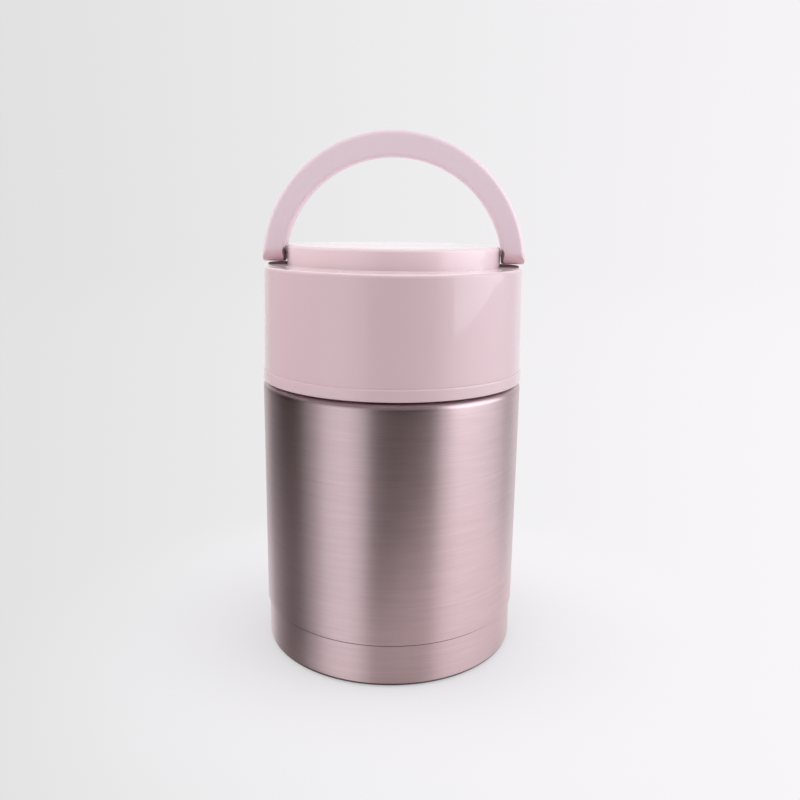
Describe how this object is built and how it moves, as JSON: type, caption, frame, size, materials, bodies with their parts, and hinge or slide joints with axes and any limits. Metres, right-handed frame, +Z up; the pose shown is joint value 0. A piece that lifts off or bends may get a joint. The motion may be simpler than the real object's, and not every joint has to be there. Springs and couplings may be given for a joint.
{
  "type": "insulated food jar",
  "caption": "Double-walled steel food jar with an insulated screw lid, a folding half-ring carry handle and an inner stopper with a press vent.",
  "frame": {"origin": "centre of the foot ring, on the surface that the jar stands on", "axes": "+Z up along the jar's axis; X along the handle's hinge axis; -Y is the front, and the handle stands in the XZ plane at rest"},
  "size_m": [0.105, 0.105, 0.2083],
  "materials": {
    "rose_steel": "satin",
    "bright_steel": "polished",
    "getter_metal": "matte",
    "pink_plastic": "gloss",
    "pale_plastic": "satin",
    "foam": "matte",
    "silicone": "satin"
  },
  "bodies": {
    "jar": {"outer_shell": "rose_steel", "inner_liner": "bright_steel", "vacuum_base": "bright_steel", "seal_plug": "bright_steel", "getter": "getter_metal", "base_cap": "rose_steel"},
    "lid": {"lid_shell": "pink_plastic", "lid_liner": "pink_plastic", "lid_foam": "foam", "lid_gasket": "silicone"},
    "carry_handle": {"handle": "pink_plastic", "handle_pin_left": "bright_steel", "handle_pin_right": "bright_steel"},
    "stopper": {"stopper_body": "pale_plastic", "stopper_cover": "pale_plastic", "stopper_foam": "foam", "stopper_seal": "silicone", "vent_spring": "bright_steel"},
    "vent": {"vent_button": "pink_plastic", "vent_stem": "pale_plastic", "vent_seal": "silicone"}
  },
  "joints": [
    {"name": "lid_lift", "type": "slide", "parent": "jar", "child": "lid", "axis": [0, 0, 1], "range_m": [0, 0.15]},
    {"name": "handle_swing", "type": "hinge", "parent": "lid", "child": "carry_handle", "pos_m": [0, 0, 0.1619], "axis": [1, 0, 0], "range_deg": [-90, 90]},
    {"name": "stopper_lift", "type": "slide", "parent": "jar", "child": "stopper", "axis": [0, 0, 1], "range_m": [0, 0.0675]},
    {"name": "vent_press", "type": "slide", "parent": "stopper", "child": "vent", "axis": [0, 0, -1], "range_m": [0, 0.002], "stiffness_N_per_m": 800, "springref_m": -0.002, "deforming": ["vent_spring"]}
  ],
  "couplings": [
    {"joint": "stopper_lift", "follows": "lid_lift", "ratio": 0.45}
  ]
}
